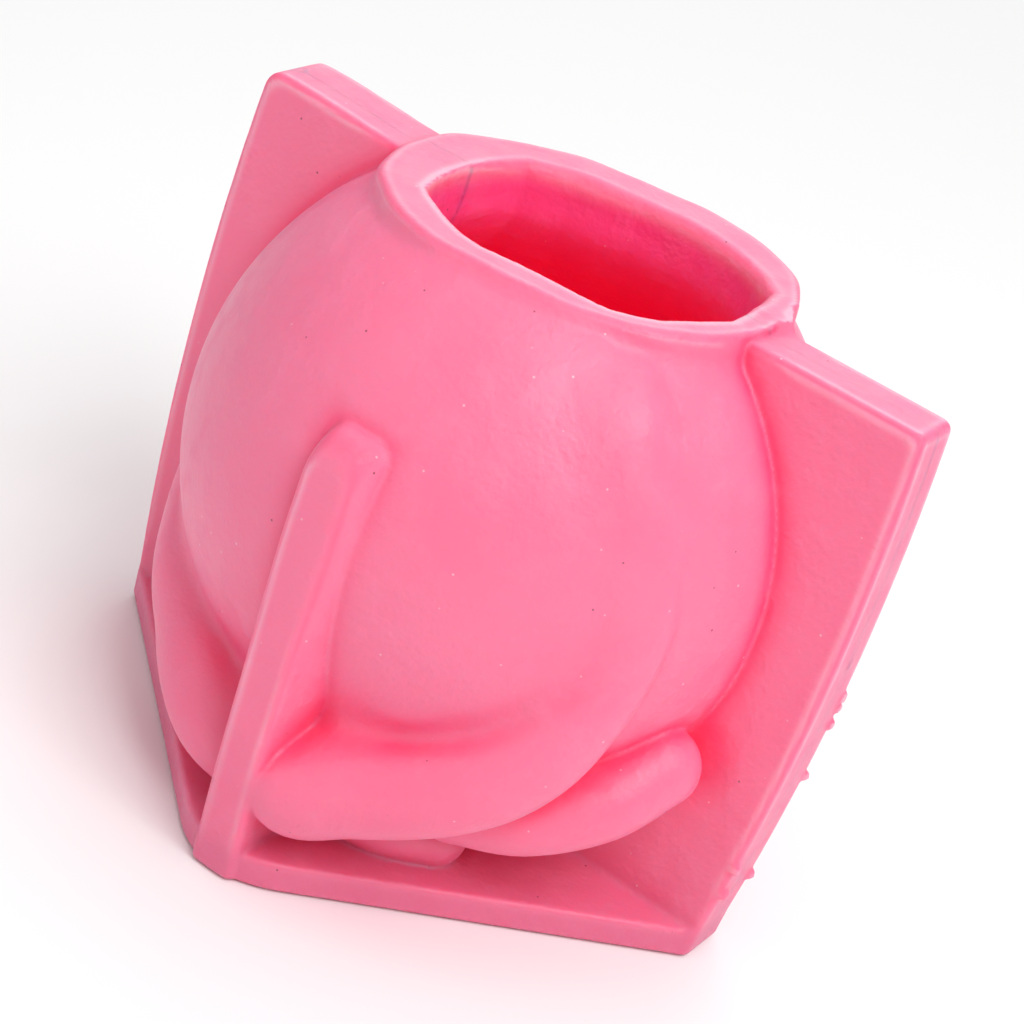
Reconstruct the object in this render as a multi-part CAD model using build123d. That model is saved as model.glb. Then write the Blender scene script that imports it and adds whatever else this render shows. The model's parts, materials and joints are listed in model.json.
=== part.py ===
from build123d import *
import math
import os

# Resin casting mould for a round pot held by a pair of arms and legs.
# Soft silicone, cut upright through the side wings so that it opens like a book.
# Millimetres, +Z up, X along the side wings, -Y towards the limbs (the front).
# The pieces are drawn round the upright axis of the ball, and build_parts then moves them
# all together, so that the origin is the middle of the footprint at table height.

# ---- driving dimensions ----
BALL_RADIUS = 46.0         # outer skin of the round body
BALL_HEIGHT = 51.0         # centre of the ball above the table
WALL = 5.5                 # silicone between skin and cavity
PEDESTAL_RADIUS = 20.0     # where the ball stands on the base plate
CAVITY_FLOOR = 11.5        # flat bottom of the cavity

BASE_THICKNESS = 4.6
WING_THICKNESS = 9.4       # both leaves of one side wing together
WING_TOP = 88.6
RIGHT_WING_BASE = 53.5     # outer edge of each wing at the table and at its top
RIGHT_WING_TOP = 57.3
LEFT_WING_BASE = 52.1
LEFT_WING_TOP = 53.3
WING_BOW = 2.4             # how far the outer edges swell at half height
LEFT_TOP_RISE = 1.2        # the left wing's top climbs this much towards its outer corner
RISE_START = 24.0          # from here outwards

FIN_THICKNESS = 7.6
FIN_REACH = 48.4           # front and back fins, from the middle, at the table
FIN_TOP_REACH = 47.4
FIN_BULGE = 1.5            # swell of a fin's edge at half height
FIN_TOP = 69.0
FIN_ROUND = 2.4
BASE_CORNER_ROUND = 3.5

RIM_BOTTOM = 85.0
RIM_TOP = 90.0
RIM_RADIUS = 29.6          # collar side
RIM_FLAT_RADIUS = 26.8     # outer edge of the flat top
RIM_SHIFT = (1.2, 0.6)     # the collar sits a little off the middle
SHOULDER_ROUND = 3.4       # between the collar's side and its flat top
MOUTH_SHIFT = (2.4, 0.6)   # the hand-cut mouth sits further off than the collar
MOUTH_LONG = 24.3          # half axes of the oval mouth
MOUTH_SHORT = 19.8
MOUTH_TURN = 25.0
NECK_BOTTOM = 76.0
NECK_TOP = 95.0            # the cutter for the mouth ends above the rim

# Above the round part the cavity draws in to the neck: radius and height of each level.
SHOULDER_LEVELS = [(34.2, 67.5), (28.0, 73.0), (23.6, 78.5)]
SHOULDER_START = 61.0      # where the round part ends
SHOULDER_END = (21.0, 85.0)

PARTING_GAP = 0.1          # knife cut between the halves
WEB_DEPTH = 3.0            # uncut silicone at the outer edge of the left wing
WEB_THICKNESS = 2.4

ARM_RADIUS = 6.5
LEG_RADIUS = 5.7
FOOT_RADIUS = 5.0
LIMB_POCKET = 0.62         # share of a limb's radius that shows as a groove inside
POCKET_DEPTH = 1.5         # how far inside the cavity skin a groove's middle lies
BEND_SHARE = 0.45          # part of each straight run of a limb that its bends may use

# Limb routes round the ball: degrees from the front, degrees of latitude, distance from
# the middle of the ball.
ARM_ROUTE = [
    (5.0, -40.5, 53.0),
    (20.0, -37.0, 52.2),
    (34.0, -31.0, 50.0),
    (45.0, -22.5, 47.0),
    (53.0, -10.5, 43.4),
    (57.5, 4.0, 41.4),
    (57.0, 21.0, 41.2),
    (51.0, 37.0, 40.8),
]
LEG_ROUTE = [
    (75.5, -26.5, 48.6),
    (64.5, -32.5, 50.3),
    (52.0, -38.5, 50.3),
    (39.5, -44.5, 48.8),
]
FOOT_ROUTE = [
    (7.5, -52.0, 51.9),
    (23.0, -54.0, 52.6),
    (38.5, -55.0, 52.4),
]

BIG = 400.0                # larger than the object, for cutting blocks
NEAR = 0.1                 # how close an edge is to a level to count as on it


# ---- shared shapes ----
def half_space(side):
    """Everything on one side of the parting plane: side -1 is the front, +1 the back."""
    depth = BIG / 2 + PARTING_GAP / 2
    return Pos(0, side * depth, 0) * Box(BIG, BIG, BIG)


def ball():
    return Pos(0, 0, BALL_HEIGHT) * Sphere(BALL_RADIUS)


def pedestal():
    height = BALL_HEIGHT - BASE_THICKNESS
    return Pos(0, 0, BASE_THICKNESS) * Cylinder(
        PEDESTAL_RADIUS, height, align=(Align.CENTER, Align.CENTER, Align.MIN)
    )


def body_solid():
    """The ball and its pedestal, up to the rim, without the cavity."""
    whole = ball() + pedestal()
    height = RIM_BOTTOM - BASE_THICKNESS
    slab = Pos(0, 0, BASE_THICKNESS) * Box(
        BIG, BIG, height, align=(Align.CENTER, Align.CENTER, Align.MIN)
    )
    return whole & slab


def ball_point(route_point, mirror=1):
    turn, latitude, distance = route_point
    level = distance * math.cos(math.radians(latitude))
    x = mirror * level * math.sin(math.radians(turn))
    y = -level * math.cos(math.radians(turn))
    z = BALL_HEIGHT + distance * math.sin(math.radians(latitude))
    return Vector(x, y, z)


def bend_radii(points):
    """The largest arcs that the straight runs between the points allow."""
    radii = []
    for before, here, after in zip(points, points[1:], points[2:]):
        run_in = here - before
        run_out = after - here
        half_turn = math.radians(run_in.get_angle(run_out)) / 2
        shorter = min(run_in.length, run_out.length)
        radii.append(BEND_SHARE * shorter / math.tan(half_turn))
    return radii


def limb_tube(route, radius, mirror=1):
    """A round-ended tube along a route on the ball."""
    points = [ball_point(p, mirror) for p in route]
    path = FilletPolyline(*points, radius=bend_radii(points))
    start = Plane(origin=path @ 0, z_dir=path % 0)
    tube = sweep(start * Circle(radius), path=path)
    for end in (points[0], points[-1]):
        tube += Pos(end) * Sphere(radius)
    return tube


def limb_pocket(route, radius, mirror=1):
    """The groove that the same limb leaves in the wall of the cavity."""
    cavity_radius = BALL_RADIUS - WALL
    inner = [(turn, latitude, cavity_radius - POCKET_DEPTH) for turn, latitude, _ in route]
    return limb_tube(inner, radius * LIMB_POCKET, mirror)


def mouth_neck():
    centre = Pos(MOUTH_SHIFT[0], MOUTH_SHIFT[1], NECK_BOTTOM)
    oval = Rot(0, 0, MOUTH_TURN) * Ellipse(MOUTH_LONG, MOUTH_SHORT)
    return centre * extrude(oval, NECK_TOP - NECK_BOTTOM)


def round_level(height):
    """The radius of the round part of the cavity at a height."""
    return math.sqrt((BALL_RADIUS - WALL) ** 2 - (height - BALL_HEIGHT) ** 2)


def cavity():
    """The space that the resin fills: a round belly drawn in to a neck."""
    floor_edge = (round_level(CAVITY_FLOOR), CAVITY_FLOOR)
    belly_side = (BALL_RADIUS - WALL, BALL_HEIGHT)
    belly_top = (round_level(SHOULDER_START), SHOULDER_START)
    upward = (BALL_HEIGHT - SHOULDER_START, belly_top[0])
    shoulder = Spline(belly_top, *SHOULDER_LEVELS, SHOULDER_END, tangents=[upward, (0, 1)])
    outline = (
        ThreePointArc(floor_edge, belly_side, belly_top)
        + shoulder
        + Polyline(SHOULDER_END, (0, SHOULDER_END[1]), (0, CAVITY_FLOOR), floor_edge)
    )
    inside = revolve(Plane.XZ * make_face(outline), Axis.Z)
    for side in (1, -1):
        inside += limb_pocket(ARM_ROUTE[:-1], ARM_RADIUS, side)
        inside += limb_pocket(LEG_ROUTE, LEG_RADIUS, side)
    return inside + mouth_neck()


def rim_solid():
    """The collar round the mouth, with a rounded shoulder and a flat top."""
    ball_level = math.sqrt(BALL_RADIUS**2 - (RIM_BOTTOM - BALL_HEIGHT) ** 2)
    inner = MOUTH_SHORT / 2
    shoulder = RIM_TOP - (RIM_RADIUS - RIM_FLAT_RADIUS)
    outline = (
        Polyline((inner, RIM_TOP), (inner, RIM_BOTTOM), (ball_level, RIM_BOTTOM))
        + Line((ball_level, RIM_BOTTOM), (RIM_RADIUS, shoulder))
        + RadiusArc((RIM_RADIUS, shoulder), (RIM_FLAT_RADIUS, RIM_TOP), -SHOULDER_ROUND)
        + Line((RIM_FLAT_RADIUS, RIM_TOP), (inner, RIM_TOP))
    )
    profile = Plane.XZ * make_face(outline)
    collar = Pos(RIM_SHIFT[0], RIM_SHIFT[1], 0) * revolve(profile, Axis.Z)
    return collar - mouth_neck()


def wing_face(base_half_width, top_half_width, side, rise, inset=0.0):
    """The wing's outline seen from the front, with its bowed outer edge."""
    foot = side * (base_half_width - inset)
    tip = side * (top_half_width - inset)
    middle = side * ((base_half_width + top_half_width) / 2 + WING_BOW - inset)
    corner = (tip, WING_TOP + rise)
    edge = ThreePointArc((foot, 0), (middle, WING_TOP / 2), corner)
    top = [corner, (side * RISE_START, WING_TOP), (0, WING_TOP)]
    rest = Polyline(*top, (0, 0), (foot, 0))
    return Plane.XZ * make_face(edge + rest)


def wing_panel(base_half_width, top_half_width, side, rise):
    """A whole side wing standing on the base plate, outside the round body."""
    outline = wing_face(base_half_width, top_half_width, side, rise)
    panel = extrude(outline, WING_THICKNESS / 2, both=True)
    above_base = Pos(0, 0, BASE_THICKNESS) * Box(
        BIG, BIG, BIG, align=(Align.CENTER, Align.CENTER, Align.MIN)
    )
    return (panel & above_base) - body_solid() - rim_outer()


def rim_outer():
    """The rim with its mouth filled, for trimming the wings."""
    height = RIM_TOP - RIM_BOTTOM
    plug = Cylinder(MOUTH_LONG, height, align=(Align.CENTER, Align.CENTER, Align.MIN))
    return rim_solid() + Pos(MOUTH_SHIFT[0], MOUTH_SHIFT[1], RIM_BOTTOM) * plug


def hinge_strip():
    """The uncut outer edge of the left wing, from the table to the wing's top."""
    outer = wing_face(LEFT_WING_BASE, LEFT_WING_TOP, -1, LEFT_TOP_RISE)
    inner = wing_face(LEFT_WING_BASE, LEFT_WING_TOP, -1, LEFT_TOP_RISE, WEB_DEPTH)
    return extrude(outer, WEB_THICKNESS / 2, both=True) - extrude(
        inner, WEB_THICKNESS, both=True
    )


def base_plate():
    """The kite-shaped plate whose corners lie under the wings and the fins."""
    half_wing = WING_THICKNESS / 2
    half_fin = FIN_THICKNESS / 2
    right = [(RIGHT_WING_BASE, -half_wing), (RIGHT_WING_BASE, half_wing)]
    back = [(half_fin, FIN_REACH), (-half_fin, FIN_REACH)]
    left = [(-LEFT_WING_BASE, half_wing), (-LEFT_WING_BASE, -half_wing)]
    front = [(-half_fin, -FIN_REACH), (half_fin, -FIN_REACH)]
    outline = make_face(Polyline(*right, *back, *left, *front, close=True))
    tips = [v for v in outline.vertices() if abs(v.Y) > FIN_REACH - NEAR]
    outline = fillet(tips, BASE_CORNER_ROUND)
    return extrude(outline, BASE_THICKNESS)


def fin_solid(side):
    """The upright fin at the front (-1) or the back (+1), outside the round body."""
    foot = side * FIN_REACH
    tip = side * FIN_TOP_REACH
    bulge = side * ((FIN_REACH + FIN_TOP_REACH) / 2 + FIN_BULGE)
    middle = (BASE_THICKNESS + FIN_TOP) / 2
    edge = ThreePointArc((foot, BASE_THICKNESS), (bulge, middle), (tip, FIN_TOP))
    rest = Polyline((tip, FIN_TOP), (0, FIN_TOP), (0, BASE_THICKNESS), (foot, BASE_THICKNESS))
    outline = Plane.YZ * make_face(edge + rest)
    fin = extrude(outline, FIN_THICKNESS / 2, both=True)
    top_edges = [e for e in fin.edges() if e.center().Z > FIN_TOP - NEAR]
    outer_tip = max(top_edges, key=lambda e: abs(e.center().Y))
    fin = fillet(outer_tip, FIN_ROUND)
    return fin - body_solid()


# ---- pieces ----
def shell_half(side):
    return (body_solid() - cavity()) & half_space(side)


def rim_half(side):
    return rim_solid() & half_space(side)


def base_half(side):
    return (base_plate() - hinge_strip()) & half_space(side)


def wing_leaf(panel, side):
    return (panel - hinge_strip()) & half_space(side)


def arm_ridge(mirror, fin):
    return limb_tube(ARM_ROUTE, ARM_RADIUS, mirror) - body_solid() - fin


def leg_ridge(mirror, plate):
    tube = limb_tube(LEG_ROUTE, LEG_RADIUS, mirror)
    return tube - body_solid() - limb_tube(ARM_ROUTE, ARM_RADIUS, mirror) - plate


def foot_ridge(mirror, plate, fin):
    tube = limb_tube(FOOT_ROUTE, FOOT_RADIUS, mirror)
    tube -= body_solid()
    tube -= limb_tube(ARM_ROUTE, ARM_RADIUS, mirror)
    tube -= limb_tube(LEG_ROUTE, LEG_RADIUS, mirror)
    return tube - plate - fin


def biggest(shape):
    """The main lump of a trimmed solid, without slivers left by the trimming."""
    return max(shape.solids(), key=lambda s: s.volume)


def build_parts():
    parts = {}
    right_panel = wing_panel(RIGHT_WING_BASE, RIGHT_WING_TOP, 1, 0.0)
    left_panel = wing_panel(LEFT_WING_BASE, LEFT_WING_TOP, -1, LEFT_TOP_RISE)
    plate = base_plate()
    for name, side in (("front", -1), ("back", 1)):
        parts[f"{name}_shell"] = biggest(shell_half(side))
        parts[f"{name}_mouth_rim"] = biggest(rim_half(side))
        parts[f"{name}_base_plate"] = biggest(base_half(side))
        parts[f"{name}_fin"] = biggest(fin_solid(side))
        parts[f"right_wing_{name}_leaf"] = biggest(wing_leaf(right_panel, side))
        parts[f"left_wing_{name}_leaf"] = biggest(wing_leaf(left_panel, side))
    parts["hinge_web"] = biggest(hinge_strip())
    fin = parts["front_fin"]
    for name, mirror in (("right", 1), ("left", -1)):
        arm = arm_ridge(mirror, fin)
        leg = leg_ridge(mirror, plate)
        foot = foot_ridge(mirror, plate, fin)
        parts[f"{name}_arm_ridge"] = biggest(arm)
        parts[f"{name}_leg_ridge"] = biggest(leg)
        parts[f"{name}_foot_ridge"] = biggest(foot)
    footprint = Compound(list(parts.values())).bounding_box()
    to_origin = Pos(-footprint.center().X, -footprint.center().Y, -footprint.min.Z)
    return {node: to_origin * solid for node, solid in parts.items()}


os.makedirs("parts", exist_ok=True)
for node, solid in build_parts().items():
    export_step(solid, f"parts/{node}.step")
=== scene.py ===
import json
import math

import bpy
import numpy as np
from mathutils import Matrix, Vector

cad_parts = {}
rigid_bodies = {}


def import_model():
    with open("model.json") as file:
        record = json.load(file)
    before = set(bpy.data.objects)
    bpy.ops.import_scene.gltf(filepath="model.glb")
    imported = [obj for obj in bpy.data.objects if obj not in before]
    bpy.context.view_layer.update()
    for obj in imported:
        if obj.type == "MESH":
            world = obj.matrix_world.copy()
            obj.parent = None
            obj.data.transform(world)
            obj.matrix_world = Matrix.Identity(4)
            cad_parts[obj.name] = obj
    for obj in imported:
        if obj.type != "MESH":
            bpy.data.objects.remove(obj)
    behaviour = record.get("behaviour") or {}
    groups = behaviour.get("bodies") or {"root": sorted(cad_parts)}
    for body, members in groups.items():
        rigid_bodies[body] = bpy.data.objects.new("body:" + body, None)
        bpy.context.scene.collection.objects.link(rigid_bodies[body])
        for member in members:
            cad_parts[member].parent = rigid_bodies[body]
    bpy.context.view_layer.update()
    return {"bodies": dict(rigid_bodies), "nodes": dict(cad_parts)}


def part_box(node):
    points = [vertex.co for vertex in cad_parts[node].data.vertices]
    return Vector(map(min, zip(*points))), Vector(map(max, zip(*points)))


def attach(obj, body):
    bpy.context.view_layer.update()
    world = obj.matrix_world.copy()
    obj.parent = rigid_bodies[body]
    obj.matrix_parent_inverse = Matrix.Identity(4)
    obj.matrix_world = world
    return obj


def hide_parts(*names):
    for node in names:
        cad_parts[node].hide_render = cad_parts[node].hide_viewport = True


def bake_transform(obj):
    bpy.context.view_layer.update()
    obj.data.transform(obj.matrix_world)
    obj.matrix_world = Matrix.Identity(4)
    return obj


# Soft silicone book mould round a pot held by arms and legs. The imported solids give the
# sizes; here they are run together into the rounded, filleted skin that a poured mould has.

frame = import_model()
MM = 0.001

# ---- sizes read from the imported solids, in mm, round the upright axis of the ball ----
def node_box(name):
    low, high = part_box(name)
    return np.array(low) / MM, np.array(high) / MM


SHELL_LOW, SHELL_HIGH = node_box("front_shell")
AXIS_X = (SHELL_LOW[0] + SHELL_HIGH[0]) / 2
BALL_RADIUS = (SHELL_HIGH[0] - SHELL_LOW[0]) / 2
RIM_TOP = node_box("front_mouth_rim")[1][2]
WING_TOP = node_box("right_wing_front_leaf")[1][2]
WING_HALF = -node_box("right_wing_front_leaf")[0][1]
BASE_THICKNESS = node_box("front_base_plate")[1][2]
FIN_TOP = node_box("front_fin")[1][2]
FIN_REACH = -node_box("front_base_plate")[0][1]
RIGHT_LIMIT = node_box("right_wing_front_leaf")[1][0] - AXIS_X
LEFT_LIMIT = node_box("hinge_web")[0][0] - AXIS_X
FLASH_LIMIT = RIGHT_LIMIT - 0.1

BALL_HEIGHT = 51.0
WALL = 5.5
CAVITY_FLOOR = 11.5
PEDESTAL_RADIUS = 20.0
RIM_BOTTOM = 85.0
RIGHT_EDGE = (53.45, 57.25)     # half width of each wing at the table and at its top
LEFT_EDGE = (52.05, 53.25)
WING_BOW = 2.35
BASE_TIP_HALF = 4.0            # half width of the base's blunt ends under the fins
FIN_TOP_REACH = 47.4
FIN_BOW = 1.5
RIM_SHIFT = (1.2, 0.6)

# Collar side at its top: degrees round from +X, radius round RIM_SHIFT.
COLLAR = [(-165, 30.2), (-140, 29.9), (-120, 29.0), (-98, 26.9), (-75, 26.0), (-50, 27.4),
          (-20, 28.9), (10, 28.6), (36, 29.7), (53, 28.9), (72, 26.9), (88, 25.5), (104, 24.7),
          (120, 24.8), (135, 26.2), (150, 27.7), (168, 29.6)]
# Corners of the knife cuts round the mouth, anticlockwise.
MOUTH_CUTS = [(26.3, -3.7), (26.1, 0.3), (25.4, 5.7), (24.3, 10.6), (20.3, 14.4), (17.0, 16.4),
              (13.4, 17.8), (8.7, 18.5), (4.3, 18.6), (-1.0, 17.8), (-10.7, 14.4),
              (-16.4, 10.8), (-17.9, 6.6), (-19.0, 2.2), (-19.6, -1.4), (-19.8, -5.1),
              (-19.2, -9.0), (-17.7, -13.8), (-15.6, -15.8), (-11.7, -18.4), (-9.4, -19.6),
              (-6.5, -20.8), (-2.4, -21.5), (3.6, -20.5), (10.6, -19.5), (15.9, -18.4),
              (18.9, -16.6), (21.4, -14.3), (24.1, -8.9)]
# The cavity draws in from its belly to the outline of the mouth between these heights.
NECK_START, NECK_END = 52.0, 84.0
NECK_GROWTH = 23.0
NECK_BOTTOM = 76.0

# Limb routes: degrees round from the front, degrees of latitude, distance from the middle
# of the ball, radius of the limb.
RIGHT_ARM = [(5, -38.6, 55.5, 5.5), (9, -39.4, 55.4, 6.8), (17, -37.8, 53.0, 6.8),
             (27, -34.9, 51.4, 6.6), (35, -31.3, 50.4, 6.45), (42, -26.6, 49.3, 6.3),
             (47.8, -20.8, 47.8, 5.9), (52.3, -14.1, 46, 5.3), (56.5, -5.5, 44.9, 4.3),
             (58.6, 3.2, 44.2, 3.7), (58.3, 14, 42.6, 4.4), (56, 25, 41.0, 5.3),
             (51.3, 37.5, 40.6, 6.2)]
LEFT_ARM = [(3, -46, 52.5, 6), (-8, -44.7, 53.6, 6.4), (-17.3, -43, 53.3, 6.6),
            (-28.1, -41.3, 51, 6.6), (-39.8, -39.1, 48.5, 6.4), (-49.8, -34.6, 46.7, 6.4),
            (-56.3, -29.2, 44.5, 6.1), (-61.2, -22, 42.1, 5.7), (-63.3, -12.7, 39.5, 5.2),
            (-66, 0, 37.4, 4.6)]
RIGHT_LEG = [(75.3, -26.5, 48.4, 5.9), (64.7, -32.3, 50.4, 5.65), (52.2, -38.7, 50.5, 5.6),
             (39.4, -44.8, 48.8, 5.6)]
LEFT_LEG = [(-62, -33.5, 46.4, 4.8), (-54, -37.5, 48.2, 5.3), (-46, -41.8, 48.6, 5.5),
            (-39.4, -44.8, 48.8, 5.6)]
RIGHT_FOOT = [(7.6, -51.9, 51.9, 4.9), (24.1, -53.8, 52.6, 5.0), (38.7, -55.1, 52.4, 5.0)]
LEFT_FOOT = [(-a, b, c, d) for a, b, c, d in RIGHT_FOOT]

# Beads on the edge of the cut wing: y, z and radius.
FLASH = [(3.9, 45.0, 0.9), (4.1, 43.2, 0.7), (3.8, 40.4, 0.8), (4.2, 31.0, 0.7),
         (-4.1, 17.0, 0.7), (-3.6, 12.2, 0.9), (3.9, 12.4, 0.8), (0.4, 52.0, 0.6)]

# Fillets and roundings, mm. A blend of k rounds a corner to a radius of about 0.85 k.
LIMB_BLEND = 0.9               # tight crease under an arm
ARM_TOP_BLEND = 5.5            # soft crease over an arm, high on the ball
ARM_INNER_BLEND = 2.6          # crease over an arm, low on the ball
ARM_CORNER_BLEND = 4.0         # corner between arm, fin and ball
SOFT_HEIGHTS = (34.0, 60.0)    # the crease over an arm softens between these
CORNER_HEIGHTS = (15.0, 22.0)
LEG_BLEND = 0.8
WING_TOP_BLEND = 1.6           # top edge of the cut wing
LEFT_TOP_BLEND = 3.0           # top edge of the uncut wing
WING_EDGE_BLEND = 1.2          # long edges of the wings
LEFT_RISE = 1.25               # rise of the uncut wing's top towards its outer edge
LEFT_FLARE = 2.2               # widening of the uncut wing's back at its top
BASE_CORNER_BLEND = 4.5        # corners of the base under the fins
BASE_TOP_BLEND = 0.9
SIDE_CORNER_BLEND = 1.0        # corners of the base under the wings
PLATE_BLEND = 1.0              # where wings and base meet
FIN_FOOT_BLEND = 0.8           # where fins meet wings and base
FIN_HALF = 3.5                 # half width of a fin's front face
FIN_UPPER_GROWTH = 0.2         # and what is added to it near the top
FIN_DRAFT = 1.9                # widening of a fin's right flank at the ball
FIN_DRAFT_LEFT = 0.2
FIN_SHALLOWEST = 1.8           # least depth of a fin that the draft is spread over
FIN_TIP_BLEND = 5.5            # rounding of a fin's top, seen from the side
FIN_EDGE_BLEND = 1.1           # rounding of its long front edges
FIN_END_BLEND = 2.2            # and what is added to it at the top
FLASH_BLEND = 0.6
SKIN_GAP = 0.15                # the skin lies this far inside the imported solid's reach
BASE_GAP = 0.25
COLLAR_SPREAD = 0.4            # collar's side outside its table
COLLAR_DRAFT = 0.08
COLLAR_BLEND = 1.4             # edge of the collar's land
RAGGED_BLEND = 0.8             # less at its ragged right end
RAGGED_DEPTH = 0.28
RAGGED_SIZE = 3.1
LAND_WAVE = 0.25
COLLAR_FOOT = 3.0              # the collar's side goes this far into the ball
COLLAR_FOOT_BLEND = 1.0
PEDESTAL_BLEND = 1.5
NECK_BLEND = 3.0
FLOOR_BLEND = 1.0
KNIFE_BLEND = 0.6
POCKET_DEPTH = 1.5             # how far a limb's groove lies inside the cavity's wall
POCKET_SHARE = 0.62            # a groove's radius, as a share of the limb's
PLATE_CREASE = 0.5             # where plates meet the round body
BEHIND_BLEND = 4.0             # more of it where the collar runs into the wing's back
LIP_BLEND = 0.5                # lip of the mouth
LIP_BACK_BLEND = 1.5           # more of it at the back
TABLE_BLEND = 0.8              # edge of the underside

CELL = 0.5      # mesh spacing, mm
WEB_HALF = 1.0                         # half thickness of the uncut hinge strip
WEB_DEPTH = 3.0


# ---- distance fields ----
def smin(a, b, k):
    h = np.clip(0.5 + 0.5 * (b - a) / k, 0.0, 1.0)
    return b + (a - b) * h - k * h * (1.0 - h)


def smax(a, b, k):
    return -smin(-a, -b, k)


def ease(v, start, end):
    t = np.clip((v - start) / (end - start), 0.0, 1.0)
    return t * t * (3.0 - 2.0 * t)


def wave(x, y, z, seed, size):
    """A smooth, cheap irregularity between -1 and 1."""
    rng = np.random.default_rng(seed)
    total = 0.0
    for _ in range(4):
        direction = rng.normal(size=3)
        direction *= 2 * math.pi / (size * np.linalg.norm(direction))
        phase = rng.uniform(0, 2 * math.pi)
        total = total + np.sin(direction[0] * x + direction[1] * y + direction[2] * z + phase)
    return total / 4.0


def route_points(route, steps=7):
    """Points and radii along a smooth curve through the route."""
    spherical = np.array(route, float)
    turn, lat = np.radians(spherical[:, 0]), np.radians(spherical[:, 1])
    level = spherical[:, 2] * np.cos(lat)
    knots = np.stack([level * np.sin(turn), -level * np.cos(turn),
                      BALL_HEIGHT + spherical[:, 2] * np.sin(lat), spherical[:, 3]], 1)
    padded = np.vstack([2 * knots[0] - knots[1], knots, 2 * knots[-1] - knots[-2]])
    out = []
    for i in range(1, len(padded) - 2):
        a, b, c, d = padded[i - 1:i + 3]
        for s in range(steps):
            t = s / steps
            out.append(0.5 * (2 * b + (c - a) * t + (2 * a - 5 * b + 4 * c - d) * t * t
                              + (3 * b - a - 3 * c + d) * t ** 3))
    out.append(knots[-1])
    return np.array(out)


def limb_distance(x, y, z, curve):
    best = np.full(x.shape, 1e3)
    for a, b in zip(curve[:-1], curve[1:]):
        run = b[:3] - a[:3]
        length2 = float(run @ run)
        dx, dy, dz = x - a[0], y - a[1], z - a[2]
        t = np.clip((dx * run[0] + dy * run[1] + dz * run[2]) / length2, 0.0, 1.0)
        dx, dy, dz = dx - t * run[0], dy - t * run[1], dz - t * run[2]
        radius = a[3] + (b[3] - a[3]) * t
        best = np.minimum(best, np.sqrt(dx * dx + dy * dy + dz * dz) - radius)
    return best


def joined_limb(field, x, y, z, curve, blend):
    """field with a limb run into it; only points near the limb are worked out."""
    reach = curve[:, 3].max() + 7.0
    low, high = curve[:, :3].min(0) - reach, curve[:, :3].max(0) + reach
    near = (x > low[0]) & (x < high[0]) & (y > low[1]) & (y < high[1])
    near &= (z > low[2]) & (z < high[2])
    if not near.any():
        return field
    xn, yn, zn = x[near], y[near], z[near]
    k = blend(xn, yn, zn)
    field = field.copy()
    field[near] = smin(field[near], limb_distance(xn, yn, zn, curve), k)
    return field


ARM_CURVES = [route_points(RIGHT_ARM), route_points(LEFT_ARM)]
LEG_CURVES = [route_points(RIGHT_LEG), route_points(LEFT_LEG)]
FOOT_CURVES = [route_points(RIGHT_FOOT), route_points(LEFT_FOOT)]


def arm_blend(x, y, z):
    """Tight under the arm and on its outer side, soft towards the front of the ball."""
    turn = np.degrees(np.arctan2(np.abs(x), -y))
    soft = ARM_TOP_BLEND * ease(z, *SOFT_HEIGHTS) * (1.0 - ease(turn, 49.0, 60.0))
    inner = ARM_INNER_BLEND * (1.0 - ease(turn, 44.0, 56.0))
    corner = ARM_CORNER_BLEND * (1.0 - ease(turn, 9.0, 24.0)) * ease(z, *CORNER_HEIGHTS)
    return LIMB_BLEND + np.maximum(soft, inner) + corner


def leg_blend(x, y, z):
    return np.full(x.shape, LEG_BLEND)


def edge_x(z, edge):
    t = z / WING_TOP
    return edge[0] + (edge[1] - edge[0]) * t + 4 * WING_BOW * t * (1 - t)


def wings(x, y, z):
    right = x - edge_x(z, RIGHT_EDGE)
    right = smax(right, z - WING_TOP, WING_TOP_BLEND)
    left = -x - edge_x(z, LEFT_EDGE)
    rise = LEFT_RISE * ease(-x, 24.0, 50.0)
    left = smax(left, z - WING_TOP - rise, LEFT_TOP_BLEND)
    outline = np.where(x > 0, right, left)
    flare = LEFT_FLARE * ease(z, 50.0, WING_TOP) * (1.0 - ease(x, -30.0, -10.0))
    faces = np.maximum(y - WING_HALF - flare, -y - WING_HALF)
    return smax(outline, faces, WING_EDGE_BLEND)


def flash(x, y, z):
    """Small beads of spilt silicone on the outer edge of the cut wing."""
    beads = None
    for by, bz, size in FLASH:
        bead = np.sqrt((x - edge_x(bz, RIGHT_EDGE)) ** 2 + (y - by) ** 2 + (z - bz) ** 2) - size
        beads = bead if beads is None else np.minimum(beads, bead)
    return beads


def base_plate(x, y, z):
    ay = np.abs(y)
    field = None
    for side, edge in ((1, RIGHT_EDGE[0]), (-1, LEFT_EDGE[0])):
        nx, ny = FIN_REACH - WING_HALF, edge - BASE_TIP_HALF
        size = math.hypot(nx, ny)
        slope = (nx * (side * x - edge) + ny * (ay - WING_HALF)) / size
        field = slope if field is None else smax(field, slope, SIDE_CORNER_BLEND)
    field = smax(field, ay - FIN_REACH + BASE_GAP, BASE_CORNER_BLEND)
    ends = np.maximum(x - RIGHT_EDGE[0], -x - LEFT_EDGE[0])
    field = smax(field, ends, SIDE_CORNER_BLEND)
    return smax(field, z - BASE_THICKNESS, BASE_TOP_BLEND)


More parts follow.
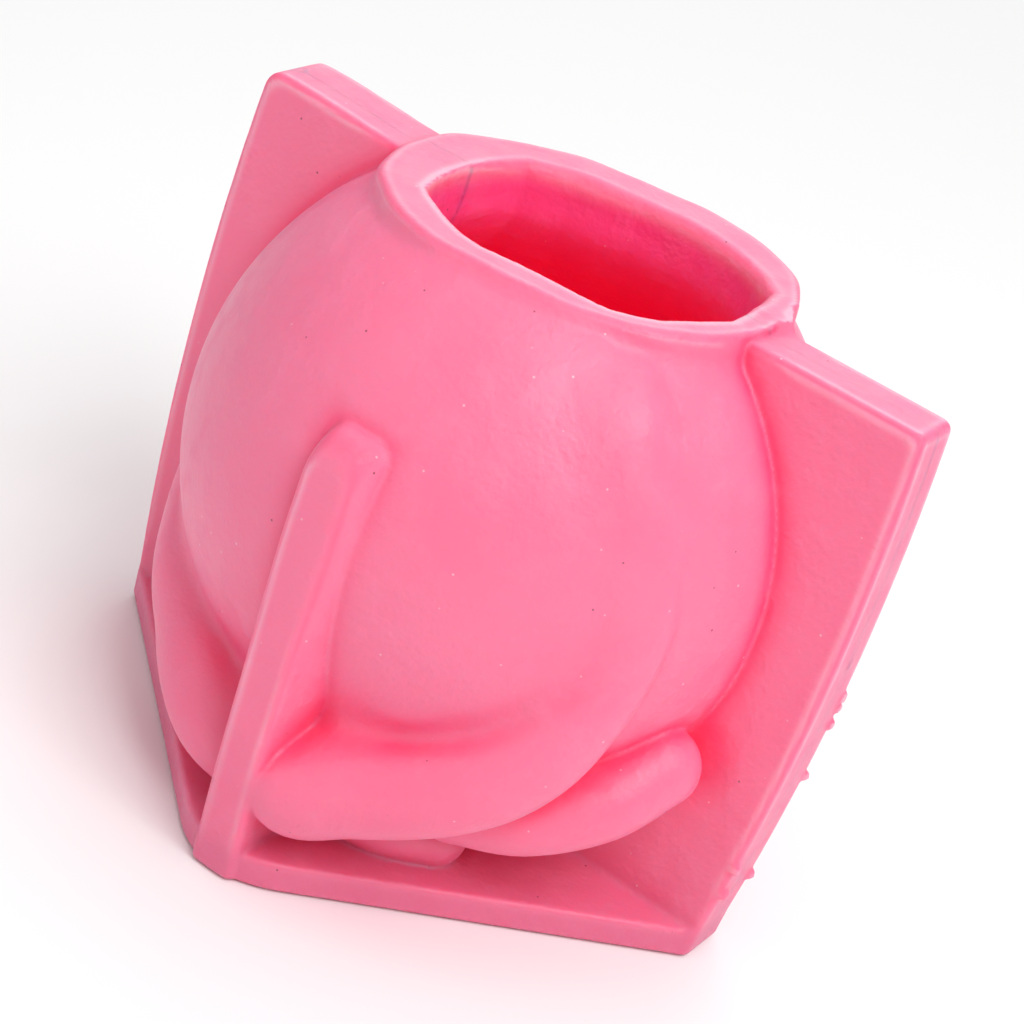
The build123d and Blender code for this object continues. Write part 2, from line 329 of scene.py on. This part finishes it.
def fins(x, y, z):
    ay = np.abs(y)
    t = np.clip(z / FIN_TOP, 0.0, 1.0)
    reach = FIN_REACH - SKIN_GAP + (FIN_TOP_REACH - FIN_REACH) * t + 4 * FIN_BOW * t * (1 - t)
    ball = np.sqrt(np.maximum(BALL_RADIUS ** 2 - (z - BALL_HEIGHT) ** 2, 0.0))
    depth = np.maximum(reach - ball, FIN_SHALLOWEST)
    upper = ease(z, 28.0, 58.0)
    middle = -0.1 - 0.45 * upper
    flare = np.where(x > middle, FIN_DRAFT * ease(z, 18.0, 32.0), FIN_DRAFT_LEFT)
    half = FIN_HALF + FIN_UPPER_GROWTH * upper + flare * np.clip((reach - ay) / depth, 0.0, 1.3)
    slope = flare / depth
    sides = (np.abs(x - middle) - half) / np.sqrt(1 + slope * slope)
    front = ay - reach
    tip = smax(front, z - FIN_TOP, FIN_TIP_BLEND)
    return smax(sides, tip, FIN_EDGE_BLEND + FIN_END_BLEND * ease(z, 62.0, FIN_TOP))


def polar_radius(turn, table):
    """A smooth closed outline through the radii of a table of (degrees, radius)."""
    angles = np.radians([a for a, _ in table])
    radii = np.array([r for _, r in table])
    fine = np.linspace(-math.pi, math.pi, 361)
    wide = np.concatenate([angles - 2 * math.pi, angles, angles + 2 * math.pi])
    dense = np.interp(fine[:-1], wide, np.tile(radii, 3))
    kernel = np.exp(-(np.arange(-24, 25) / 9.0) ** 2)
    kernel /= kernel.sum()
    smooth = np.convolve(np.concatenate([dense[-24:], dense, dense[:24]]), kernel, "valid")
    return np.interp(turn, fine, np.append(smooth, smooth[0]))


def rim(x, y, z):
    rx, ry = x - RIM_SHIFT[0], y - RIM_SHIFT[1]
    r = np.sqrt(rx * rx + ry * ry)
    turn = np.arctan2(ry, rx)
    wobble = 0.12 * np.sin(9 * turn + 0.6) + 0.1 * np.sin(17 * turn + 2.0)
    ragged = ease(turn, -0.3, 0.0) * (1 - ease(turn, 0.3, 0.6))
    wobble += RAGGED_DEPTH * ragged * wave(x, y, 0 * z, 5, RAGGED_SIZE)
    side = r - polar_radius(turn, COLLAR) - COLLAR_SPREAD - wobble
    side = side + COLLAR_DRAFT * (z - RIM_TOP)
    land = z - RIM_TOP + LAND_WAVE - LAND_WAVE * np.sin(2 * turn + 0.7) * np.sin(5 * turn)
    collar = smax(side, land, COLLAR_BLEND - RAGGED_BLEND * ragged)
    return np.maximum(collar, RIM_BOTTOM - COLLAR_FOOT - z)


def knife_cuts(x, y):
    """The outline of the mouth, cut with a knife in short straight strokes."""
    cuts = None
    for a, b in zip(MOUTH_CUTS, MOUTH_CUTS[1:] + MOUTH_CUTS[:1]):
        run = math.hypot(b[0] - a[0], b[1] - a[1])
        nx, ny = (b[1] - a[1]) / run, (a[0] - b[0]) / run
        edge = nx * (x - a[0]) + ny * (y - a[1])
        cuts = edge if cuts is None else np.maximum(cuts, edge)
    return cuts


def neck(z, cuts):
    """The cavity above its belly, drawn in to the outline of the mouth."""
    t = np.clip((z - NECK_START) / (NECK_END - NECK_START), 0.0, 1.0)
    grown = NECK_GROWTH * (1 - ease(z, NECK_START, NECK_END))
    lean = 6 * NECK_GROWTH * t * (1 - t) / (NECK_END - NECK_START)
    return (cuts - grown) / np.sqrt(1 + lean * lean)


def pocket(route, cavity_radius):
    curve = route.copy()
    offset = curve[:, :3] - np.array([0, 0, BALL_HEIGHT])
    length = np.linalg.norm(offset, axis=1, keepdims=True)
    curve[:, :3] = np.array([0, 0, BALL_HEIGHT]) + offset * (cavity_radius - POCKET_DEPTH) / length
    curve[:, 3] *= POCKET_SHARE
    return curve


BELOW_NECK = [c[c[:, 2] < 66.0] for c in ARM_CURVES]
POCKETS = [pocket(c, BALL_RADIUS - WALL) for c in BELOW_NECK + LEG_CURVES]


def cavity(x, y, z, ball):
    inside = smax(ball + WALL, CAVITY_FLOOR - z, FLOOR_BLEND)
    cuts = knife_cuts(x, y)
    inside = np.where(z > NECK_START, smax(inside, neck(z, cuts), NECK_BLEND), inside)
    for curve in POCKETS:
        inside = joined_limb(inside, x, y, z, curve, leg_blend)
    return smin(inside, np.maximum(cuts, NECK_BOTTOM - z), KNIFE_BLEND)


def body(x, y, z):
    dz = z - BALL_HEIGHT
    ball = np.sqrt(x * x + y * y + dz * dz) - BALL_RADIUS
    pedestal = np.maximum(np.sqrt(x * x + y * y) - PEDESTAL_RADIUS, z - BALL_HEIGHT)
    field = smin(smax(ball, z - RIM_TOP + 1.5, 1.0), pedestal, PEDESTAL_BLEND)
    for curve in LEG_CURVES:
        field = joined_limb(field, x, y, z, curve, leg_blend)
    for curve in FOOT_CURVES:
        field = joined_limb(field, x, y, z, curve, leg_blend)
    for curve in ARM_CURVES:
        field = joined_limb(field, x, y, z, curve, arm_blend)
    plates = smin(wings(x, y, z), base_plate(x, y, z), PLATE_BLEND)
    plates = smin(plates, fins(x, y, z), FIN_FOOT_BLEND)
    behind = ease(y, 1.0, 5.0) * ease(z, 66.0, 84.0) * ease(x, 0.0, 10.0)
    field = smin(field, rim(x, y, z), COLLAR_FOOT_BLEND)
    plates = smin(plates, np.maximum(flash(x, y, z), x - FLASH_LIMIT), FLASH_BLEND)
    field = smin(field, plates, PLATE_CREASE + BEHIND_BLEND * behind)
    field = np.maximum(field, z - RIM_TOP)
    lip = LIP_BLEND + LIP_BACK_BLEND * ease(y, -4.0, 12.0)
    field = smax(field, -cavity(x, y, z, ball), lip)
    return smax(field, -z, TABLE_BLEND)


# ---- meshing ----
def web_inner(z):
    return -edge_x(z, LEFT_EDGE) + WEB_DEPTH


def grid_axis(low, high, offset):
    start = math.floor(low / CELL - offset) + offset
    return (start + np.arange(int((high - low) / CELL) + 4)) * CELL


def sample_field():
    xs = grid_axis(LEFT_LIMIT - 2, RIGHT_LIMIT + 2, 0.0)
    ys = grid_axis(-FIN_REACH - 2, FIN_REACH + 2, 0.5)
    zs = grid_axis(-2.0, RIM_TOP + 2, 0.0)
    coarse = 4
    shape = (len(xs), len(ys), len(zs))
    cx, cy, cz = [a[0] + (np.arange(math.ceil(len(a) / coarse)) * coarse + 1.5) * CELL
                  for a in (xs, ys, zs)]
    gx, gy, gz = np.meshgrid(cx, cy, cz, indexing="ij")
    rough = body(gx.ravel(), gy.ravel(), gz.ravel()).reshape(gx.shape)
    for axis in range(3):
        rough = np.repeat(rough, coarse, axis=axis)
    field = rough[:shape[0], :shape[1], :shape[2]].copy()
    near = np.abs(field) < coarse * CELL * 1.45
    i, j, k = np.nonzero(near)
    field[near] = body(xs[i], ys[j], zs[k])
    return xs, ys, zs, field


def labels_of(xs, ys, zs, field):
    """0 outside, 1 front half, 2 back half, 3 uncut hinge strip."""
    label = np.zeros(field.shape, np.int8)
    solid = field < 0
    front = np.broadcast_to((ys < 0)[None, :, None], field.shape)
    label[solid & front] = 1
    label[solid & ~front] = 2
    strip = (xs[:, None] < web_inner(zs)[None, :])[:, None, :]
    strip = strip & (np.abs(ys) < WEB_HALF)[None, :, None]
    label[solid & strip] = 3
    return label


CORNERS = [(a, b, c) for a in (0, 1) for b in (0, 1) for c in (0, 1)]


def corner_view(array, a, b, c):
    n = array.shape
    return array[a:n[0] - 1 + a, b:n[1] - 1 + b, c:n[2] - 1 + c]


def net_vertices(xs, ys, zs, field, label):
    """One vertex in each cell that a surface or a cut passes through."""
    views = [corner_view(label, *c) for c in CORNERS]
    mixed = np.zeros(views[0].shape, bool)
    for v in views[1:]:
        mixed |= v != views[0]
    i, j, k = np.nonzero(mixed)
    number = np.full(mixed.shape, -1, np.int64)
    number[i, j, k] = np.arange(len(i))
    lab = np.stack([v[i, j, k] for v in views], 1)
    val = np.stack([corner_view(field, *c)[i, j, k] for c in CORNERS], 1)
    low = np.stack([xs[i], ys[j], zs[k]], 1)
    total, count = np.zeros((len(i), 3)), np.zeros(len(i))
    for m, p in enumerate(CORNERS):
        for n, q in enumerate(CORNERS):
            if n <= m or sum(abs(u - v) for u, v in zip(p, q)) != 1:
                continue
            cross = (lab[:, m] == 0) != (lab[:, n] == 0)
            t = np.where(cross, val[:, m] / (val[:, m] - val[:, n] + 1e-12), 0)
            t = np.clip(t, 0.0, 1.0)
            p0, p1 = np.array(p, float), np.array(q, float)
            total += np.where(cross[:, None], p0 + (p1 - p0) * t[:, None], 0)
            count += cross
    centre = np.where(count[:, None] > 0, total / np.maximum(count, 1)[:, None], 0.5)
    points = low + centre * CELL
    on_skin = (lab == 0).any(1)
    has = [(lab == m).any(1) for m in range(4)]
    middle = low[:, 1] + CELL / 2
    halves_meet = has[1] & has[2]
    strip_meets = has[3] & (has[1] | has[2])
    at_strip_side = strip_meets & (np.abs(np.abs(middle) - WEB_HALF) < 0.1 * CELL)
    inner = web_inner(low[:, 2] + CELL / 2)
    crosses_inner = (low[:, 0] < inner) & (low[:, 0] + CELL >= inner)
    lock_x = strip_meets & crosses_inner
    lock_y = at_strip_side | (np.abs(middle) < 0.1 * CELL) & (halves_meet | strip_meets)
    lock_y &= at_strip_side | halves_meet
    points[lock_y, 1] = middle[lock_y]
    project(points, on_skin, lock_x, lock_y)
    return points, number


def gradient(p, step=0.02):
    out = np.empty_like(p)
    for axis in range(3):
        a, b = p.copy(), p.copy()
        a[:, axis] += step
        b[:, axis] -= step
        out[:, axis] = (body(*a.T) - body(*b.T)) / (2 * step)
    return out


def project(points, on_skin, lock_x, lock_y):
    """Moves skin points onto the surface, keeping those on a cut in the cut."""
    for _ in range(4):
        points[lock_x, 0] = web_inner(points[lock_x, 2])
        p = points[on_skin]
        g = gradient(p)
        g[lock_y[on_skin], 1] = 0
        g[lock_x[on_skin], 0] = 0
        size = np.maximum((g * g).sum(1), 0.05)
        step = -(body(*p.T) / size)[:, None] * g
        length = np.maximum(np.linalg.norm(step, axis=1), 1e-9)
        step *= np.minimum(1.0, 0.5 * CELL / length)[:, None]
        points[on_skin] = p + step
    points[lock_x, 0] = web_inner(points[lock_x, 2])


def net_faces(label, number, wanted):
    """Quads round one label, facing outwards, and whether each lies on the skin."""
    faces, skin = [], []
    for axis in range(3):
        u, v = (axis + 1) % 3, (axis + 2) % 3
        first = [slice(None)] * 3
        second = [slice(None)] * 3
        first[axis], second[axis] = slice(0, -1), slice(1, None)
        a, b = label[tuple(first)], label[tuple(second)]
        for sign, (one, two) in ((1, (a, b)), (-1, (b, a))):
            where = np.stack(np.nonzero((one == wanted) & (two != wanted)), 1)
            other = two[tuple(where.T)]
            ring = []
            for du, dv in ((0, 0), (1, 0), (1, 1), (0, 1)):
                cell = where.copy()
                cell[:, u] -= 1 - du
                cell[:, v] -= 1 - dv
                ring.append(number[tuple(cell.T)])
            ring = np.stack(ring, 1)
            faces.append(ring if sign > 0 else ring[:, ::-1])
            skin.append(other == 0)
    return np.vstack(faces), np.concatenate(skin)


def make_piece(name, points, faces, skin, attributes):
    used, inverse = np.unique(faces, return_inverse=True)
    faces = inverse.reshape(faces.shape)
    co = points[used] * MM
    co[:, 0] += AXIS_X * MM
    mesh = bpy.data.meshes.new(name)
    mesh.from_pydata(co.tolist(), [], faces.tolist())
    for key, values in attributes.items():
        layer = mesh.attributes.new(key, "FLOAT", "POINT")
        layer.data.foreach_set("value", values[used].astype(np.float32))
    mesh.update()
    ends = np.empty(len(mesh.loops), np.int32)
    mesh.loops.foreach_get("edge_index", ends)
    ends = ends.reshape(-1, 4)
    on_skin = np.zeros(len(mesh.edges), bool)
    on_cut = np.zeros(len(mesh.edges), bool)
    on_skin[ends[skin].ravel()] = True
    on_cut[ends[~skin].ravel()] = True
    mesh.shade_smooth()
    sharp = mesh.attributes.new("sharp_edge", "BOOLEAN", "EDGE")
    sharp.data.foreach_set("value", on_skin & on_cut)
    piece = bpy.data.objects.new(name, mesh)
    bpy.context.scene.collection.objects.link(piece)
    return piece


def painted_shade_and_highlight_masks(points):
    """How enclosed and how edge-like the surface is at each point, from 0 to 1: masks for painted
    shade in creases and a painted highlight on edges.
    """
    g = gradient(points)
    n = g / np.maximum(np.linalg.norm(g, axis=1, keepdims=True), 1e-6)
    hollow_shade, edge = np.zeros(len(points)), np.zeros(len(points))
    for reach in (1.5, 4.0, 8.0):
        hollow_shade += np.clip(reach - body(*(points + n * reach).T), 0, None) / reach
    for reach in (1.0, 2.2):
        edge += np.clip(reach + body(*(points - n * reach).T), 0, None) / reach
    hollow_shade = hollow_shade / 3
    clear = ease(np.linalg.norm(g, axis=1), 0.6, 0.9)
    return hollow_shade, clear * np.clip(edge / 2 - 2.0 * hollow_shade, 0.0, 1.0)


def cavity_depth(points):
    """0 on the outer skin, rising to 1 on the wall of the cavity below its lip: the mask of the
    painted shade in the cavity, and of its lower specular level.
    """
    x, y, z = points.T
    dz = z - BALL_HEIGHT
    ball = np.sqrt(x * x + y * y + dz * dz) - BALL_RADIUS
    wall = 1 - ease(cavity(x, y, z, ball), 0.5, 2.0)
    return wall * ease(RIM_TOP - z, 0.4, 5.0)


def low_shade(points):
    """1 in the base plate, falling to 0 at the middle of the ball: the mask of the painted shade
    low down.
    """
    z = points[:, 2]
    return 0.35 * (1 - ease(z, 3.0, 7.5)) + 0.65 * (1 - ease(z, -5.0, 48.0))


xs, ys, zs, field = sample_field()
label = labels_of(xs, ys, zs, field)
points, number = net_vertices(xs, ys, zs, field, label)
# Masks for painted shade in creases, low down and in the cavity, and for a painted highlight on
# edges.
hollow_shade, edge = painted_shade_and_highlight_masks(points)
hollow_shade *= 1 - 0.9 * low_shade(points)
attributes = {"hollow_shade": hollow_shade, "edge": edge, "depth": cavity_depth(points),
              "low": low_shade(points)}
pieces = {}
for name, wanted in (("front_half_skin", 1), ("back_half_skin", 2), ("hinge_strip", 3)):
    faces, skin = net_faces(label, number, wanted)
    pieces[name] = make_piece(name, points, faces, skin, attributes)

FRONT_NODES = [n for n, o in frame["nodes"].items() if o.parent == frame["bodies"]["front_half"]]
BACK_NODES = [n for n, o in frame["nodes"].items() if o.parent == frame["bodies"]["back_half"]]
BACK_NODES.remove("hinge_web")
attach(pieces["front_half_skin"], "front_half")
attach(pieces["back_half_skin"], "back_half")
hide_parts(*FRONT_NODES)
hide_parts(*BACK_NODES)
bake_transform(pieces["hinge_strip"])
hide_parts("hinge_web")


# ---- material ----
def attribute(tree, name):
    node = tree.nodes.new("ShaderNodeAttribute")
    node.attribute_name = name
    return node.outputs["Fac"]


def ramp(tree, source, low, high):
    node = tree.nodes.new("ShaderNodeMapRange")
    node.interpolation_type = "SMOOTHSTEP"
    node.inputs["From Min"].default_value = low
    node.inputs["From Max"].default_value = high
    tree.links.new(source, node.inputs["Value"])
    return node.outputs["Result"]


def mixed(tree, factor, first, second):
    node = tree.nodes.new("ShaderNodeMix")
    node.data_type = "RGBA"
    for key, value in (("A", first), ("B", second)):
        socket = [i for i in node.inputs if i.name == key and i.type == "RGBA"][0]
        if isinstance(value, tuple):
            socket.default_value = (*value, 1)
        else:
            tree.links.new(value, socket)
    tree.links.new(factor, node.inputs["Factor"])
    return [o for o in node.outputs if o.type == "RGBA"][0]


def textured(tree, kind, size, low, high, **settings):
    """A noise or cell texture in the object's own space, with cells of a size in metres."""
    node = tree.nodes.new(kind)
    tree.links.new(tree.nodes["Texture Coordinate"].outputs["Object"], node.inputs["Vector"])
    node.inputs["Scale"].default_value = 1.0 / size
    for key, value in settings.items():
        node.inputs[key].default_value = value
    source = node.outputs["Distance" if kind == "ShaderNodeTexVoronoi" else "Fac"]
    return ramp(tree, source, low, high), node


def times(tree, *factors):
    result = factors[0]
    for factor in factors[1:]:
        node = tree.nodes.new("ShaderNodeMath")
        node.operation = "MULTIPLY"
        tree.links.new(result, node.inputs[0])
        if isinstance(factor, float):
            node.inputs[1].default_value = factor
        else:
            tree.links.new(factor, node.inputs[1])
        result = node.outputs["Value"]
    return result


def specks(tree, size, radius, share):
    """Round dots in a share of the cells of a grid of a size in metres."""
    near, cells = textured(tree, "ShaderNodeTexVoronoi", size, radius / size, 0.3 * radius / size)
    pick = tree.nodes.new("ShaderNodeSeparateColor")
    tree.links.new(cells.outputs["Color"], pick.inputs["Color"])
    return times(tree, near, ramp(tree, pick.outputs["Red"], 1.0 - share, 1.0 - 0.9 * share))


PINK, PINK_CLOUD = (0.978, 0.195, 0.345), (0.982, 0.212, 0.362)
EDGE_HIGHLIGHT_PINK = (0.97, 0.40, 0.53)         # painted highlight on thin edges, standing in for the light they pass and their sheen
CREASE_SHADE_RED = (1.0, 0.08, 0.215)        # painted shade in creases: a deeper red, where light has gone through silicone twice
LOW_SHADE_PINK = (0.74, 0.155, 0.285)        # painted shade, darker towards the table
CAVITY_SHADE_RED = (1.0, 0.088, 0.305)        # painted shade on the wall of the cavity: a deeper red standing in for light bounced inside it
STREAK_PINK = (0.93, 0.32, 0.45)
DARK_SPECK, PALE_DUST = (0.16, 0.02, 0.03), (0.95, 0.70, 0.76)
SCATTER_RADIUS, SCATTER_SCALE = (1.0, 0.3, 0.4), 0.0011
# Sizes of the textures, in metres.
CLOUD_SIZE, STREAK_SIZE, GRAIN_SIZE = 0.018, 0.005, 0.0009
SPECK_CELL, SPECK_RADIUS = 0.0042, 0.00022
DUST_CELL, DUST_RADIUS = 0.0028, 0.00024
ROUGHNESS = (0.40, 0.60)
SHEEN = (0.5, 0.1)                     # outside, and in the cavity


def silicone():
    mat = bpy.data.materials.new("pink_silicone")
    mat.use_nodes = True
    tree = mat.node_tree
    bsdf = tree.nodes["Principled BSDF"]
    tree.nodes.new("ShaderNodeTexCoord")
    bsdf.inputs["Subsurface Weight"].default_value = 1.0
    bsdf.inputs["Subsurface Radius"].default_value = SCATTER_RADIUS
    bsdf.inputs["Subsurface Scale"].default_value = SCATTER_SCALE
    clouds, _ = textured(tree, "ShaderNodeTexNoise", CLOUD_SIZE, 0.30, 0.72, Detail=4.0)
    streaks, _ = textured(tree, "ShaderNodeTexNoise", STREAK_SIZE, 0.40, 0.75, Detail=6.0)
    grain, _ = textured(tree, "ShaderNodeTexNoise", GRAIN_SIZE, 0.25, 0.75, Detail=5.0)
    pink = mixed(tree, clouds, PINK, PINK_CLOUD)
    # painted highlight: edges paler
    pink = mixed(tree, ramp(tree, attribute(tree, "edge"), 0.05, 0.45), pink, EDGE_HIGHLIGHT_PINK)
    # painted shade: creases deeper red
    pink = mixed(tree, ramp(tree, attribute(tree, "hollow_shade"), 0.02, 0.62), pink, CREASE_SHADE_RED)
    # painted shade: darker towards the table
    pink = mixed(tree, attribute(tree, "low"), pink, LOW_SHADE_PINK)
    # painted shade: the cavity wall deeper red
    pink = mixed(tree, ramp(tree, attribute(tree, "depth"), 0.0, 1.0), pink, CAVITY_SHADE_RED)
    pink = mixed(tree, times(tree, streaks, 0.10), pink, STREAK_PINK)
    dark = times(tree, specks(tree, SPECK_CELL, SPECK_RADIUS, 0.5), 0.85)
    pink = mixed(tree, dark, pink, DARK_SPECK)
    dust = times(tree, specks(tree, DUST_CELL, DUST_RADIUS, 0.35), 0.6)
    pink = mixed(tree, dust, pink, PALE_DUST)
    tree.links.new(pink, bsdf.inputs["Base Color"])
    gloss = tree.nodes.new("ShaderNodeMapRange")
    gloss.inputs["To Min"].default_value, gloss.inputs["To Max"].default_value = ROUGHNESS
    tree.links.new(streaks, gloss.inputs["Value"])
    tree.links.new(gloss.outputs["Result"], bsdf.inputs["Roughness"])
    sheen = tree.nodes.new("ShaderNodeMapRange")
    sheen.inputs["To Min"].default_value, sheen.inputs["To Max"].default_value = SHEEN
    tree.links.new(attribute(tree, "depth"), sheen.inputs["Value"])
    tree.links.new(sheen.outputs["Result"], bsdf.inputs["Specular IOR Level"])
    bump = tree.nodes.new("ShaderNodeBump")
    bump.inputs["Strength"].default_value = 0.35
    bump.inputs["Distance"].default_value = 0.00012
    tree.links.new(grain, bump.inputs["Height"])
    waves = tree.nodes.new("ShaderNodeBump")
    waves.inputs["Strength"].default_value = 0.35
    waves.inputs["Distance"].default_value = 0.0004
    tree.links.new(streaks, waves.inputs["Height"])
    tree.links.new(bump.outputs["Normal"], waves.inputs["Normal"])
    tree.links.new(waves.outputs["Normal"], bsdf.inputs["Normal"])
    return mat


MATERIAL = silicone()
for piece in pieces.values():
    piece.data.materials.append(MATERIAL)


# ---- floor, light and camera ----
FLOOR_HALF = 3.0
FLOOR_GAP = 0.0003             # keeps the floor clear of the underside


def floor():
    mesh = bpy.data.meshes.new("studio_floor")
    s, low = FLOOR_HALF, -FLOOR_GAP
    corners = [(-s, -s, low), (s, -s, low), (s, s, low), (-s, s, low)]
    mesh.from_pydata(corners, [], [(0, 1, 2, 3)])
    obj = bpy.data.objects.new("studio_floor", mesh)
    bpy.context.scene.collection.objects.link(obj)
    mat = bpy.data.materials.new("studio_floor")
    mat.use_nodes = True
    bsdf = mat.node_tree.nodes["Principled BSDF"]
    bsdf.inputs["Base Color"].default_value = (0.9, 0.9, 0.9, 1)
    bsdf.inputs["Roughness"].default_value = 0.8
    mesh.materials.append(mat)


floor()


def area_light(name, position, target, size, power):
    data = bpy.data.lights.new(name, "AREA")
    data.energy = power
    data.size = size
    obj = bpy.data.objects.new(name, data)
    obj.location = position
    aim = Vector(target) - Vector(position)
    obj.rotation_euler = aim.to_track_quat("-Z", "Y").to_euler()
    bpy.context.scene.collection.objects.link(obj)


area_light("key", (0.47, -0.27, 0.71), (0, 0, 0.06), 0.5, 4.9)
area_light("overhead", (0.0, 0.1, 0.90), (0, 0, 0.05), 0.8, 1.8)
area_light("behind", (-0.45, 0.95, 0.62), (0, 0, 0.05), 1.0, 3.4)
area_light("fill", (-0.55, -0.75, 0.50), (0, 0, 0.05), 0.8, 0.8)
world = bpy.data.worlds.new("studio")
world.use_nodes = True
background = world.node_tree.nodes["Background"]
background.inputs["Color"].default_value = (1, 1, 1, 1)
background.inputs["Strength"].default_value = 0.475
bpy.context.scene.world = world
bpy.context.scene.view_settings.view_transform = "Standard"
# Light reaches the depth of the cavity only after many bounces.
bpy.context.scene.cycles.max_bounces = 20
bpy.context.scene.cycles.diffuse_bounces = 18

# The camera, fitted to the outline of the object in its picture.
CAMERA_TURN = math.radians(25.723)     # round from the front, towards the right wing
CAMERA_LIFT = math.radians(27.535)
CAMERA_ROLL = math.radians(18.556)
CAMERA_DISTANCE = 0.402463
CAMERA_LENS = 98.82                    # mm, on a 36 mm sensor
CAMERA_SHIFT = (0.01667, -0.01452)
AIM_HEIGHT = 0.046


def camera():
    data = bpy.data.cameras.new("camera")
    data.sensor_width = 36.0
    data.lens = CAMERA_LENS
    data.shift_x, data.shift_y = CAMERA_SHIFT
    data.clip_start = 0.01
    obj = bpy.data.objects.new("camera", data)
    ahead = Vector((math.sin(CAMERA_TURN) * math.cos(CAMERA_LIFT),
                    -math.cos(CAMERA_TURN) * math.cos(CAMERA_LIFT), math.sin(CAMERA_LIFT)))
    right = (-ahead).cross(Vector((0, 0, 1))).normalized()
    up = right.cross(-ahead)
    across = math.cos(CAMERA_ROLL) * right + math.sin(CAMERA_ROLL) * up
    upward = -math.sin(CAMERA_ROLL) * right + math.cos(CAMERA_ROLL) * up
    turn = Matrix((across, upward, ahead)).transposed().to_4x4()
    place = Vector((AXIS_X * MM, 0, AIM_HEIGHT)) + ahead * CAMERA_DISTANCE
    obj.matrix_world = Matrix.Translation(place) @ turn
    bpy.context.scene.collection.objects.link(obj)
    bpy.context.scene.camera = obj


camera()
